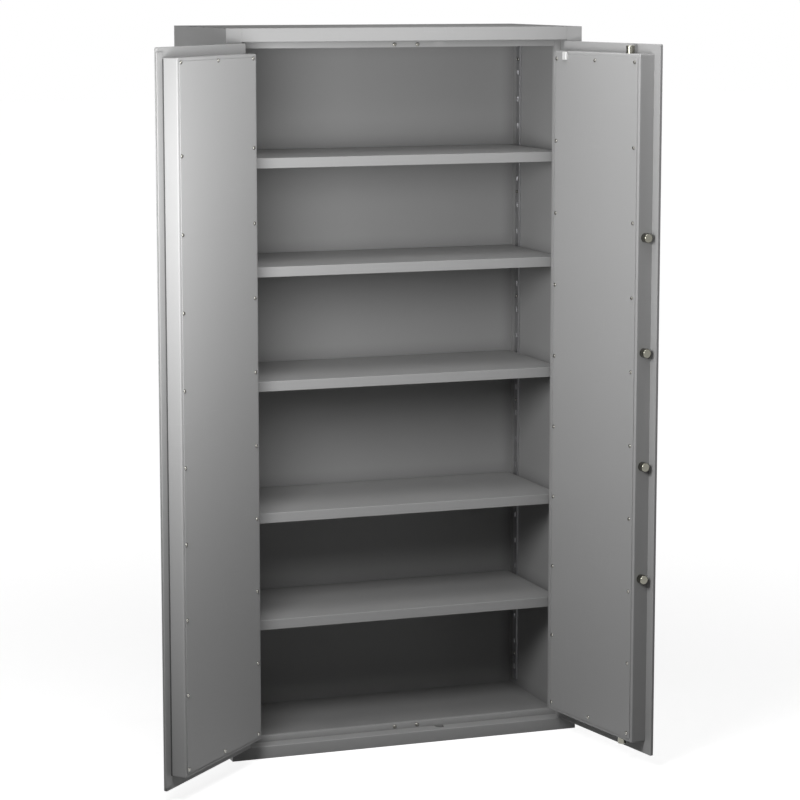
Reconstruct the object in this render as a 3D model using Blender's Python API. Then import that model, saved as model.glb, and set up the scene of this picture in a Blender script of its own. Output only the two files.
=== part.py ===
"""Two-door fireproof filing cabinet with a rack and pinion boltwork, metres, +Z up, front towards -Y."""

import math

import bmesh
import bpy

# Carcass
WIDTH = 1.000
DEPTH = 0.500
HEIGHT = 1.950
SHEET = 0.0015
SEAT = 0.0003
OVER = 0.002

# Folded front rim
RIM_SIDE = 0.043
RIM_TOP = 0.036
RIM_FOOT = 0.034
RIM_BEND = 0.0025
KEEPER_PLAY = 0.0015

# Inner frame behind the bolt channel
FRAME_BACK = 0.044
FRAME_THICK = 0.014
FRAME_SHOW = 0.017
FRAME_SHOW_FOOT = 0.0155
SEAL_WIDTH = 0.010
SEAL_THICK = 0.002
SEAL_SHOW = 0.001

# Insulated walls, outer face to inner face
WALL_SIDE = 0.020
WALL_TOP = 0.032
WALL_BASE = 0.032
WALL_BACK = 0.063
LINER = 0.0012

# Shelves and their rails
SHELF_TOPS = (0.366, 0.659, 1.016, 1.322, 1.610)
SHELF_THICK = 0.027
SHELF_SETBACK = 0.062
SHELF_SHEET = 0.0015
SHELF_LIP = 0.014
SHELF_BEND = 0.0015
SHELF_SIDE_PLAY = 0.0025
SHELF_BACK_PLAY = 0.002
RAIL_WIDTH = 0.026
RAIL_THICK = 0.005
RAIL_INSET = 0.050
RAIL_END = 0.020
SLOT_PITCH = 0.075
SLOT_HIGH = 0.014
SLOT_WIDE = 0.004
SLOT_DEEP = 0.003
CLIP_REACH = 0.014
CLIP_THICK = 0.004
CLIP_WIDE = 0.018

# Doors
DOOR_GAP = 0.0025
HINGE_GAP = 0.002
SKIN = 0.008
SKIN_SHEET = 0.002
SKIN_CORNER = 0.004
SKIN_EDGE = 0.0012
DOOR_THICK = 0.0535
COVER = 0.0015
COVER_INSET = 0.009
COVER_CORNER = 0.004
COVER_EDGE = 0.0004
CASING_SHEET = 0.0015
CASING_FLANGE = 0.030
CASING_BEND = 0.003
PLUG_HINGE = 0.0235
PLUG_TOP = 0.0253
PLUG_FOOT = 0.035
RIGHT_MARGIN = 0.027
MEET_GAP = 0.0025
MEET_LAP = 0.0055
MEET_THICK = 0.003
MEET_SEAT = 0.0006
MEET_END = 0.012
MEET_EDGE = 0.001
LEFT_OPEN = math.radians(135.3)
RIGHT_OPEN = math.radians(99.4)

# Lift-off hinges
HINGE_FOOT = 0.260
HINGE_DROP = 0.260
KNUCKLE_R = 0.0065
KNUCKLE_LONG = 0.045
PIN_R = 0.003
PIN_LONG = 0.030
PIN_PLAY = 0.0003
PIN_CHAMFER = 0.001
NOTCH_PLAY = 0.0004
AXIS_PROUD = 0.0015

# Boltwork
THROW = 0.022
TURN = math.radians(90.0)
TEETH = 16
PRESSURE = math.radians(20.0)
ADDENDUM = 0.8
DEDENDUM = 1.05
BACKLASH = 0.0003
PINION_IN = 0.105
PINION_Z = 1.000
SLAB = 0.0134
LAYER_GAP = 0.002
RACK_BACK = 0.034
ROD_BACK = 0.036
ROD_TEETH = 0.012
CHANNEL_SHEET = 0.003
CHANNEL_LONG = 0.090
CHANNEL_LUG = 0.005
ROD = 0.008
ROD_PLAY = 0.0006
ROD_DROP = 0.001
ROD_TAIL = 0.045
ROD_CRANK = 0.012
ARM = 0.008
ARM_HIGH = 0.010
BOLT_R = 0.011
BOLT_V = 0.030
BOLT_SHOW = 0.021
BOLT_CLEAR = 0.008
BOLT_CHAMFER = 0.0015
BOLT_PLAY = 0.0005
BOLT_LOW = 0.515
BOLT_PITCH = 0.300
BOLT_COUNT = 4
BOLT_TAIL = 0.034
BAR_THICK = 0.008
BAR_END = 0.030
SPINDLE_R = 0.006
SPINDLE_PLAY = 0.001
SPINDLE_END = 0.007

# Lever handle
HUB_R = 0.017
HUB_HIGH = 0.042
LEVER_LONG = 0.125
LEVER_WIDE = 0.020
LEVER_THICK = 0.013
LEVER_TIP = 0.78

# Lock
LUG = 0.010
LUG_LONG = 0.030
LUG_IN = 0.004
LUG_PLAY = 0.0015
LOCK_WIDE = 0.070
LOCK_HIGH = 0.085
LOCK_DROP = 0.012
LOCK_BOLT_LONG = 0.032
LOCK_BOLT_THICK = 0.006
LOCK_PLAY = 0.0005
KEY_DROP = 0.045
ROSE_R = 0.022
ROSE_THICK = 0.004
KEY_R = 0.0035
KEY_SLOT = 0.011

# White buffer on the right cover
BUFFER_WIDE = 0.018
BUFFER_HIGH = 0.022
BUFFER_THICK = 0.006
BUFFER_U = 0.079
BUFFER_EDGE = 0.0015

# Sizes that follow
FRONT = -DEPTH / 2
BACK = DEPTH / 2
HALF = WIDTH / 2
OPEN_X = HALF - RIM_SIDE
OPEN_LOW = RIM_FOOT
OPEN_HIGH = HEIGHT - RIM_TOP
FRAME_Y = FRONT + FRAME_BACK
FRAME_END = FRAME_Y + FRAME_THICK
RIM_RETURN = FRAME_BACK - SEAL_THICK - 2 * SEAT
IN_X = HALF - WALL_SIDE
IN_LOW = WALL_BASE
IN_HIGH = HEIGHT - WALL_TOP
IN_BACK = BACK - WALL_BACK
EDGE_X = OPEN_X - HINGE_GAP
AXIS_X = OPEN_X - HINGE_GAP / 2
AXIS_Y = FRONT - AXIS_PROUD
AXIS_U = HINGE_GAP / 2
HINGE_TOP = HEIGHT - HINGE_DROP
SKIN_LOW = OPEN_LOW + DOOR_GAP
SKIN_HIGH = OPEN_HIGH - DOOR_GAP
PLUG_LOW = SKIN_LOW + PLUG_FOOT
PLUG_HIGH = SKIN_HIGH - PLUG_TOP
SKIN_U = EDGE_X - MEET_GAP / 2
RIGHT_PLUG_U = SKIN_U - RIGHT_MARGIN
LEFT_PLUG_U = 2 * EDGE_X - RIGHT_PLUG_U - BOLT_SHOW - THROW - BOLT_CLEAR
STRIP_U = SKIN_U + MEET_GAP + MEET_LAP
COVER_V = DOOR_THICK - COVER
FLANGE_V = COVER_V - SEAT
PITCH_R = THROW / TURN
MODULE = 2 * PITCH_R / TEETH
TOOTH_PITCH = math.pi * MODULE
PINION_U = EDGE_X - PINION_IN
ROOT = DEDENDUM * MODULE
TIP = ADDENDUM * MODULE
ROD_V = BOLT_V - ROD / 2 - ROD_DROP
ARM_V = ROD_V + ROD + LAYER_GAP
CHANNEL_V = SKIN_SHEET + SLAB + 2 * SEAT
BAR_U = RIGHT_PLUG_U - CASING_SHEET - BOLT_TAIL
ARM_TOP = PINION_Z - PITCH_R - ROOT
ARM_LOW = ARM_TOP - ARM_HIGH
LUG_U = PINION_U - RACK_BACK + LUG_IN
LOCK_U = LUG_U + LUG + LUG_PLAY
LOCK_BOLT_WIDE = THROW - LUG - 2 * LUG_PLAY
LUG_LOW = ARM_LOW - LUG_LONG
LOCK_TOP = LUG_LOW - LOCK_DROP
KEY_U = LOCK_U + LOCK_BOLT_WIDE / 2
KEY_Z = LOCK_TOP - KEY_DROP


def clear_scene():
    for item in list(bpy.data.objects):
        bpy.data.objects.remove(item, do_unlink=True)


def paint(name, colour, roughness, metallic):
    found = bpy.data.materials.get(name)
    if found:
        return found
    made = bpy.data.materials.new(name)
    made.use_nodes = True
    shader = made.node_tree.nodes["Principled BSDF"]
    shader.inputs["Base Color"].default_value = (*colour, 1.0)
    shader.inputs["Roughness"].default_value = roughness
    shader.inputs["Metallic"].default_value = metallic
    return made


def grey_paint():
    return paint("grey_paint", (0.44, 0.44, 0.43), 0.45, 0.0)


def frame_paint():
    return paint("frame_paint", (0.36, 0.36, 0.355), 0.5, 0.0)


def bright_steel():
    return paint("bright_steel", (0.62, 0.61, 0.59), 0.3, 1.0)


def plain_steel():
    return paint("plain_steel", (0.40, 0.40, 0.41), 0.45, 1.0)


def gypsum():
    return paint("gypsum", (0.72, 0.70, 0.66), 0.9, 0.0)


def seal_grey():
    return paint("seal_grey", (0.12, 0.12, 0.12), 0.8, 0.0)


def white_nylon():
    return paint("white_nylon", (0.86, 0.86, 0.84), 0.5, 0.0)


def lever_black():
    return paint("lever_black", (0.03, 0.03, 0.032), 0.4, 0.0)


def pivot(name, place, turn, parent=None):
    empty = bpy.data.objects.new(name, None)
    empty.location = place
    empty.rotation_euler = (0.0, 0.0, turn)
    empty.parent = parent
    bpy.context.collection.objects.link(empty)
    return empty


def finish(name, mesh_data, material, parent=None, smooth=0.0):
    bmesh.ops.recalc_face_normals(mesh_data, faces=mesh_data.faces)
    mesh = bpy.data.meshes.new(name)
    mesh_data.to_mesh(mesh)
    mesh_data.free()
    mesh.materials.append(material)
    if smooth:
        mesh.shade_smooth()
        mesh.set_sharp_from_angle(angle=math.radians(smooth))
    made = bpy.data.objects.new(name, mesh)
    made.parent = parent
    bpy.context.collection.objects.link(made)
    return made


def guide(name, mesh_data, parent=None):
    made = finish(name, mesh_data, plain_steel(), parent)
    made.hide_render = True
    made.display_type = "WIRE"
    return made


def combine(target, tool, operation):
    step = target.modifiers.new(tool.name, "BOOLEAN")
    step.operation = operation
    step.solver = "EXACT"
    step.object = tool


def add_box(mesh_data, low, high):
    spots = [(x, y, z) for x in (low[0], high[0]) for y in (low[1], high[1]) for z in (low[2], high[2])]
    verts = [mesh_data.verts.new(spot) for spot in spots]
    for face in ((0, 1, 3, 2), (4, 6, 7, 5), (0, 4, 5, 1), (2, 3, 7, 6), (0, 2, 6, 4), (1, 5, 7, 3)):
        mesh_data.faces.new([verts[index] for index in face])


def box(name, low, high, material, parent=None):
    shape = bmesh.new()
    add_box(shape, low, high)
    return finish(name, shape, material, parent)


def add_loft(mesh_data, loops, ring=False):
    rows = [[mesh_data.verts.new(spot) for spot in loop] for loop in loops]
    count = len(rows[0])
    pairs = list(zip(rows, rows[1:]))
    if ring:
        pairs.append((rows[-1], rows[0]))
    for near, far in pairs:
        for index in range(count):
            after = (index + 1) % count
            mesh_data.faces.new((near[index], near[after], far[after], far[index]))
    if not ring:
        mesh_data.faces.new(rows[0])
        mesh_data.faces.new(rows[-1])


def rounded(low, high, radius, steps=3):
    if radius <= 0.0:
        return [(low[0], low[1]), (high[0], low[1]), (high[0], high[1]), (low[0], high[1])]
    spots = []
    corners = ((high[0] - radius, low[1] + radius, -90), (high[0] - radius, high[1] - radius, 0),
               (low[0] + radius, high[1] - radius, 90), (low[0] + radius, low[1] + radius, 180))
    for a, b, start in corners:
        for step in range(steps + 1):
            angle = math.radians(start + 90.0 * step / steps)
            spots.append((a + radius * math.cos(angle), b + radius * math.sin(angle)))
    return spots


def add_prism(mesh_data, outline, place, near, far):
    add_loft(mesh_data, [[place(a, b, near) for a, b in outline], [place(a, b, far) for a, b in outline]])


def circle(radius, sides=32, turn=0.0):
    return [(radius * math.cos(turn + math.tau * i / sides), radius * math.sin(turn + math.tau * i / sides))
            for i in range(sides)]


def along_x(a, b, t):
    return (t, a, b)


def along_y(a, b, t):
    return (a, t, b)


def along_z(a, b, t):
    return (a, b, t)


def moved(place, da, db):
    return lambda a, b, t: place(a + da, b + db, t)


class Door:
    def __init__(self, side, empty):
        self.side = side
        self.empty = empty

    def at(self, u, v, z):
        return (self.side * (u + AXIS_U), v + AXIS_PROUD, z)

    def along_u(self, v, z, u):
        return self.at(u, v, z)

    def along_v(self, u, z, v):
        return self.at(u, v, z)

    def along_z(self, u, v, z):
        return self.at(u, v, z)


def folded_rim(outer, inner):
    bend = [(inner - RIM_BEND + RIM_BEND * math.sin(math.radians(30 * i)),
             RIM_BEND - RIM_BEND * math.cos(math.radians(30 * i))) for i in range(4)]
    fold = RIM_BEND - SHEET
    hollow = [(inner - RIM_BEND + fold * math.sin(math.radians(30 * i)),
               RIM_BEND - fold * math.cos(math.radians(30 * i))) for i in range(3, -1, -1)]
    back = [(inner, RIM_RETURN), (inner - SHEET, RIM_RETURN)]
    return [(outer, 0.0)] + bend + back + hollow + [(outer, SHEET)]


def keeper_notch():
    radius = BOLT_R + KEEPER_PLAY
    rear = RIM_RETURN - BOLT_V + OVER
    turns = [math.pi * (1 + i / 12) for i in range(13)]
    front = [(radius * math.cos(turn), radius * math.sin(turn)) for turn in turns]
    return front + [(radius, rear), (-radius, rear)]


def build_rims():
    for side, name in ((-1, "rim_left"), (1, "rim_right")):
        shape = bmesh.new()
        section = folded_rim(0.0, RIM_SIDE)
        add_prism(shape, [(side * (HALF - a), FRONT + b) for a, b in section], along_z, 0.0, HEIGHT)
        rim = finish(name, shape, grey_paint(), smooth=40)
        corners = bmesh.new()
        ends = sorted((side * OPEN_X, side * (OPEN_X + RIM_BEND)))
        for low, high in ((0.0, OPEN_LOW), (OPEN_HIGH, HEIGHT)):
            add_box(corners, (ends[0], FRONT, low), (ends[1], FRONT + SHEET, high))
        combine(rim, guide(name + "_corners", corners), "UNION")
        cut = bmesh.new()
        turned = moved(along_z, side * AXIS_X, AXIS_Y)
        for low in (HINGE_FOOT, HINGE_TOP):
            barrel = circle(KNUCKLE_R + NOTCH_PLAY, 24)
            add_prism(cut, barrel, turned, low - SEAT, low + 2 * KNUCKLE_LONG + 2 * SEAT)
        ends = sorted((side * (OPEN_X - OVER), side * (HALF + OVER)))
        for low, high in ((-OVER, SHEET + SEAT), (HEIGHT - SHEET - SEAT, HEIGHT + OVER)):
            add_box(cut, (ends[0], FRONT + SHEET, low), (ends[1], FRONT + RIM_RETURN + OVER, high))
        combine(rim, guide(name + "_notches", cut), "DIFFERENCE")
    reach = OPEN_X - SEAT
    for name, start, way, size in (("rim_bottom", 0.0, 1, RIM_FOOT), ("rim_top", HEIGHT, -1, RIM_TOP)):
        shape = bmesh.new()
        section = folded_rim(0.0, size)
        add_prism(shape, [(FRONT + b, start + way * a) for a, b in section], along_x, -reach, reach)
        rim = finish(name, shape, grey_paint(), smooth=40)
        cut = bmesh.new()
        ends = sorted((start + way * (size + OVER), start + way * (size - SHEET - OVER)))
        add_prism(cut, keeper_notch(), moved(along_z, PINION_IN, FRONT + BOLT_V), ends[0], ends[1])
        combine(rim, guide(name + "_keeper", cut), "DIFFERENCE")


def build_outer_sheets():
    start = FRONT + SHEET + SEAT
    stop = BACK - SHEET - SEAT
    for side, name in ((-1, "left_side_panel"), (1, "right_side_panel")):
        xs = sorted((side * HALF, side * (HALF - SHEET)))
        box(name, (xs[0], start, 0.0), (xs[1], stop, HEIGHT), grey_paint())
    reach = HALF - SHEET - SEAT
    box("base_panel", (-reach, start, 0.0), (reach, stop, SHEET), grey_paint())
    box("top_panel", (-reach, start, HEIGHT - SHEET), (reach, stop, HEIGHT), grey_paint())
    box("back_panel", (-HALF, BACK - SHEET, 0.0), (HALF, BACK, HEIGHT), grey_paint())


def build_inner_frame():
    outer = HALF - SHEET - SEAT
    inner = OPEN_X - FRAME_SHOW
    low = SHEET + SEAT
    high = HEIGHT - SHEET - SEAT
    for side, name in ((-1, "inner_frame_left"), (1, "inner_frame_right")):
        xs = sorted((side * outer, side * inner))
        box(name, (xs[0], FRAME_Y, low), (xs[1], FRAME_END, high), frame_paint())
    reach = inner - SEAT
    foot = OPEN_LOW + FRAME_SHOW_FOOT
    box("inner_frame_bottom", (-reach, FRAME_Y, low), (reach, FRAME_END, foot), frame_paint())
    box("inner_frame_top", (-reach, FRAME_Y, OPEN_HIGH - FRAME_SHOW), (reach, FRAME_END, high), frame_paint())
    shape = bmesh.new()
    near = FRAME_Y - SEAT - SEAL_THICK
    far = FRAME_Y - SEAT
    half = OPEN_X - SEAL_SHOW
    inside = rounded((-half, OPEN_LOW + SEAL_SHOW), (half, OPEN_HIGH - SEAL_SHOW), 0.0)
    grow = SEAL_WIDTH - SEAL_SHOW
    outside = rounded((-OPEN_X - grow, OPEN_LOW - grow), (OPEN_X + grow, OPEN_HIGH + grow), 0.0)
    loops = [[along_y(a, b, t) for a, b in line]
             for line, t in ((inside, near), (outside, near), (outside, far), (inside, far))]
    add_loft(shape, loops, ring=True)
    finish("heat_seal", shape, seal_grey())


def build_insulation():
    skin = SHEET + SEAT
    lining = LINER + SEAT
    start = FRAME_END + SEAT
    stop = IN_BACK + LINER
    low = IN_LOW - lining
    high = IN_HIGH + lining
    for side, name in ((-1, "left_insulation"), (1, "right_insulation")):
        xs = sorted((side * (HALF - skin), side * (IN_X + lining)))
        box(name, (xs[0], start, skin), (xs[1], stop, HEIGHT - skin), gypsum())
    reach = IN_X + LINER
    box("base_insulation", (-reach, start, skin), (reach, stop, low), gypsum())
    box("top_insulation", (-reach, start, high), (reach, stop, HEIGHT - skin), gypsum())
    far = (HALF - skin, BACK - skin, HEIGHT - skin)
    box("back_insulation", (-HALF + skin, stop + SEAT, skin), far, gypsum())


def build_liner():
    start = FRAME_END + SEAT
    inside = rounded((-IN_X, IN_LOW), (IN_X, IN_HIGH), 0.0)
    outside = rounded((-IN_X - LINER, IN_LOW - LINER), (IN_X + LINER, IN_HIGH + LINER), 0.0)
    loops = ((inside, IN_BACK), (inside, start), (outside, start), (outside, IN_BACK + LINER))
    shape = bmesh.new()
    add_loft(shape, [[along_y(a, b, t) for a, b in line] for line, t in loops])
    finish("inner_liner", shape, grey_paint())


def build_shelf(number, top):
    reach = IN_X - RAIL_THICK - SEAT - SHELF_SIDE_PLAY
    near = FRONT + SHELF_SETBACK
    far = IN_BACK - SHELF_BACK_PLAY
    low = top - SHELF_THICK
    bend = SHELF_BEND

    def line(inset, z):
        edge = rounded((-reach + inset, near + inset), (reach - inset, far - inset), 0.0)
        return [(a, b, z) for a, b in edge]

    wall = SHELF_SHEET
    loops = [line(bend, top), line(0.3 * bend, top - 0.3 * bend), line(0.0, top - bend), line(0.0, low),
             line(SHELF_LIP, low), line(SHELF_LIP, low + wall),
             line(wall, low + wall), line(wall, top - wall)]
    shape = bmesh.new()
    add_loft(shape, loops)
    finish("shelf_%d" % number, shape, grey_paint())


def build_rail(side, name, middle):
    face = IN_X - SEAT
    low = IN_LOW + RAIL_END
    high = IN_HIGH - RAIL_END
    xs = sorted((side * face, side * (face - RAIL_THICK)))
    half = RAIL_WIDTH / 2
    rail = box(name, (xs[0], middle - half, low), (xs[1], middle + half, high), plain_steel())
    clips = bmesh.new()
    slots = bmesh.new()
    tops = [top - SHELF_THICK - SEAT for top in SHELF_TOPS]
    for top in tops:
        ends = sorted((side * (face - RAIL_THICK / 2), side * (face - RAIL_THICK - CLIP_REACH)))
        wide = CLIP_WIDE / 2
        add_box(clips, (ends[0], middle - wide, top - CLIP_THICK), (ends[1], middle + wide, top))
    count = int((high - low) / SLOT_PITCH)
    for index in range(count):
        z = low + SLOT_PITCH * (index + 0.5)
        if min(abs(z - top) for top in tops) < SLOT_HIGH + CLIP_THICK:
            continue
        ends = sorted((side * (face - RAIL_THICK - SEAT), side * (face - RAIL_THICK + SLOT_DEEP)))
        half_slot = SLOT_HIGH / 2
        near = (ends[0], middle - SLOT_WIDE, z - half_slot)
        far = (ends[1], middle + SLOT_WIDE, z + half_slot)
        add_box(slots, near, far)
    combine(rail, guide(name + "_clips", clips), "UNION")
    combine(rail, guide(name + "_slots", slots), "DIFFERENCE")


def build_rails():
    near = FRONT + SHELF_SETBACK + RAIL_INSET
    far = IN_BACK - RAIL_INSET
    build_rail(-1, "shelf_rail_left_front", near)
    build_rail(-1, "shelf_rail_left_rear", far)
    build_rail(1, "shelf_rail_right_front", near)
    build_rail(1, "shelf_rail_right_rear", far)


def build_hinge(side, empty, name, low):
    middle = low + KNUCKLE_LONG
    turned = moved(along_z, side * AXIS_X, AXIS_Y)
    fixed = bmesh.new()
    cut = PIN_CHAMFER
    lines = ((KNUCKLE_R - cut, low), (KNUCKLE_R, low + cut), (KNUCKLE_R, middle), (PIN_R, middle),
             (PIN_R, middle + PIN_LONG - cut), (PIN_R - cut, middle + PIN_LONG))
    add_loft(fixed, [[turned(a, b, z) for a, b in circle(radius, 24)] for radius, z in lines])
    finish("hinge_frame_" + name, fixed, plain_steel(), smooth=40)
    loose = bmesh.new()
    top = middle + KNUCKLE_LONG
    start = middle + SEAT
    bore = PIN_R + PIN_PLAY
    lines = ((bore, start + PIN_LONG + cut), (bore, start), (KNUCKLE_R, start), (KNUCKLE_R, top - cut),
             (KNUCKLE_R - cut, top))
    add_loft(loose, [[(a, b, z) for a, b in circle(radius, 24)] for radius, z in lines])
    finish("hinge_door_" + name, loose, plain_steel(), empty, smooth=40)


def build_skin(door, name, plug):
    window = (PLUG_HINGE + CASING_SHEET, plug - CASING_SHEET)

    def line(inset, v, low_u=0.0, high_u=SKIN_U, low=SKIN_LOW, high=SKIN_HIGH, radius=SKIN_CORNER):
        ring = rounded((low_u + inset, low + inset), (high_u - inset, high - inset), radius - inset)
        return [door.at(u, v, z) for u, z in ring]

    hole = {"low_u": window[0], "high_u": window[1]}
    hole.update(low=PLUG_LOW + CASING_SHEET, high=PLUG_HIGH - CASING_SHEET)
    edge = SKIN_EDGE
    loops = [line(edge, 0.0), line(0.3 * edge, 0.3 * edge), line(0.0, edge), line(0.0, SKIN - edge),
             line(0.3 * edge, SKIN - 0.3 * edge), line(edge, SKIN), line(0.0, SKIN, **hole),
             line(0.0, SKIN_SHEET, **hole)]
    shape = bmesh.new()
    add_loft(shape, loops)
    skin = finish(name, shape, grey_paint(), door.empty, smooth=35)
    cut = bmesh.new()
    for low in (HINGE_FOOT, HINGE_TOP):
        ring = circle(KNUCKLE_R + NOTCH_PLAY, 24)
        add_prism(cut, ring, along_z, low - 2 * SEAT, low + 2 * KNUCKLE_LONG + 2 * SEAT)
    combine(skin, guide(name + "_notches", cut, door.empty), "DIFFERENCE")
    return skin


def build_casing(door, name, plug):
    def line(inset, v, radius):
        ring = rounded((PLUG_HINGE + inset, PLUG_LOW + inset), (plug - inset, PLUG_HIGH - inset), radius)
        return [door.at(u, v, z) for u, z in ring]

    corner = CASING_BEND
    wall = CASING_SHEET
    start = SKIN + SEAT
    bend = CASING_BEND
    turns = [math.radians(30 * i) for i in range(4)]
    fold = [(bend * (1 - math.cos(turn)), bend * (1 - math.sin(turn))) for turn in turns]
    loops = [line(0.0, start, corner)] + [line(inset, FLANGE_V - deep, corner) for inset, deep in fold]
    loops += [line(CASING_FLANGE, FLANGE_V, corner), line(CASING_FLANGE, FLANGE_V - wall, corner),
              line(wall + bend, FLANGE_V - wall, corner), line(wall, FLANGE_V - wall - bend, corner),
              line(wall, start, corner)]
    shape = bmesh.new()
    add_loft(shape, loops, ring=True)
    return finish(name, shape, grey_paint(), door.empty, smooth=35)


def build_slab(door, name, plug, far):
    inset = CASING_SHEET + SEAT
    low = (PLUG_HINGE + inset, PLUG_LOW + inset)
    ring = rounded(low, (plug - inset, PLUG_HIGH - inset), CASING_BEND + SKIN_CORNER)
    shape = bmesh.new()
    add_prism(shape, ring, door.along_v, SKIN_SHEET + SEAT, far)
    return finish(name, shape, gypsum(), door.empty)


def build_cover(door, name, plug):
    edge = COVER_EDGE

    def line(inset, v):
        gap = COVER_INSET + inset
        high = (plug - gap, PLUG_HIGH - gap)
        ring = rounded((PLUG_HINGE + gap, PLUG_LOW + gap), high, COVER_CORNER - inset)
        return [door.at(u, v, z) for u, z in ring]

    shape = bmesh.new()
    add_loft(shape, [line(0.0, COVER_V), line(0.0, DOOR_THICK - edge), line(edge, DOOR_THICK)])
    return finish(name, shape, grey_paint(), door.empty, smooth=35)


def build_left_door(door):
    build_skin(door, "left_door_skin", LEFT_PLUG_U)
    build_casing(door, "left_door_casing", LEFT_PLUG_U)
    build_slab(door, "left_door_insulation", LEFT_PLUG_U, FLANGE_V - CASING_SHEET - 2 * SEAT - CASING_BEND)
    build_cover(door, "left_door_cover", LEFT_PLUG_U)
    near = SKIN + MEET_SEAT
    far = near + MEET_THICK
    edge = MEET_EDGE
    outline = [(LEFT_PLUG_U + SEAT, near), (STRIP_U - edge, near),
               (STRIP_U, near + edge), (STRIP_U, far - edge),
               (STRIP_U - edge, far), (LEFT_PLUG_U + SEAT, far)]
    shape = bmesh.new()
    add_prism(shape, outline, door.along_z, SKIN_LOW + MEET_END, SKIN_HIGH - MEET_END)
    finish("meeting_strip", shape, grey_paint(), door.empty)


def build_right_door(door):
    skin = build_skin(door, "right_door_skin", RIGHT_PLUG_U)
    casing = build_casing(door, "right_door_casing", RIGHT_PLUG_U)
    slab = build_slab(door, "right_door_insulation", RIGHT_PLUG_U, SKIN_SHEET + SEAT + SLAB)
    build_cover(door, "right_door_cover", RIGHT_PLUG_U)
    for target, near, far in ((skin, -OVER, SKIN_SHEET + OVER), (slab, 0.0, CHANNEL_V)):
        cut = bmesh.new()
        ring = circle(SPINDLE_R + SPINDLE_PLAY, 24)
        add_prism(cut, ring, moved(door.along_v, PINION_U, PINION_Z), near, far)
        add_prism(cut, circle(SPINDLE_R, 24), moved(door.along_v, KEY_U, KEY_Z), near, far)
        combine(target, guide(target.name + "_holes", cut, door.empty), "DIFFERENCE")
    cut = bmesh.new()
    hole = circle(BOLT_R + BOLT_PLAY, 24)
    for index in range(BOLT_COUNT):
        z = BOLT_LOW + index * BOLT_PITCH
        start = RIGHT_PLUG_U - CASING_SHEET - OVER
        add_prism(cut, hole, moved(door.along_u, BOLT_V, z), start, RIGHT_PLUG_U + OVER)
    for z in (PLUG_HIGH, PLUG_LOW):
        reach = CASING_SHEET + OVER
        add_prism(cut, hole, moved(door.along_z, PINION_U, BOLT_V), z - reach, z + reach)
    combine(casing, guide("right_door_bolt_holes", cut, door.empty), "DIFFERENCE")
    high = PLUG_HIGH - BUFFER_EDGE
    start = BUFFER_U - BUFFER_WIDE / 2
    near = DOOR_THICK + SEAT
    shape = bmesh.new()
    edge = BUFFER_EDGE
    loops = []
    for inset, v in ((0.0, near), (0.0, near + BUFFER_THICK - edge), (edge, near + BUFFER_THICK)):
        low = (start + inset, high - BUFFER_HIGH + inset)
        ring = rounded(low, (start + BUFFER_WIDE - inset, high - inset), 2 * edge - inset)
        loops.append([door.at(u, v, z) for u, z in ring])
    add_loft(shape, loops)
    finish("buffer_block", shape, white_nylon(), door.empty)


def tooth_flank(steps=3):
    base = PITCH_R * math.cos(PRESSURE)
    start = math.pi / (2 * TEETH) - BACKLASH / 2 / PITCH_R + math.tan(PRESSURE) - PRESSURE
    outer = PITCH_R + TIP
    flank = [(PITCH_R - ROOT, start)]
    for index in range(steps + 1):
        radius = base + (outer - base) * index / steps
        roll = math.acos(base / radius)
        flank.append((radius, start - (math.tan(roll) - roll)))
    return flank


def pinion_outline():
    spots = []
    flank = tooth_flank()
    for tooth in range(TEETH):
        middle = math.tau * tooth / TEETH
        for radius, half in flank:
            spots.append((radius * math.cos(middle - half), radius * math.sin(middle - half)))
        for radius, half in reversed(flank):
            spots.append((radius * math.cos(middle + half), radius * math.sin(middle + half)))
    return spots


def rack_outline(low, high, body, reach):
    half = TOOTH_PITCH / 4 - BACKLASH / 2
    slope = math.tan(PRESSURE)
    spots = []
    first = math.ceil((low + TOOTH_PITCH / 2) / TOOTH_PITCH - 0.5)
    last = math.floor((high - TOOTH_PITCH / 2) / TOOTH_PITCH - 0.5)
    for index in range(first, last + 1):
        middle = (index + 0.5) * TOOTH_PITCH
        spots.append((middle - half - ROOT * slope, ROOT))
        spots.append((middle - half + TIP * slope, -TIP))
        spots.append((middle + half - TIP * slope, -TIP))
        spots.append((middle + half + ROOT * slope, ROOT))
    return [(low, ROOT)] + spots + [(reach, ROOT), (reach, ROOT + body), (low, ROOT + body)]


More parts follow.
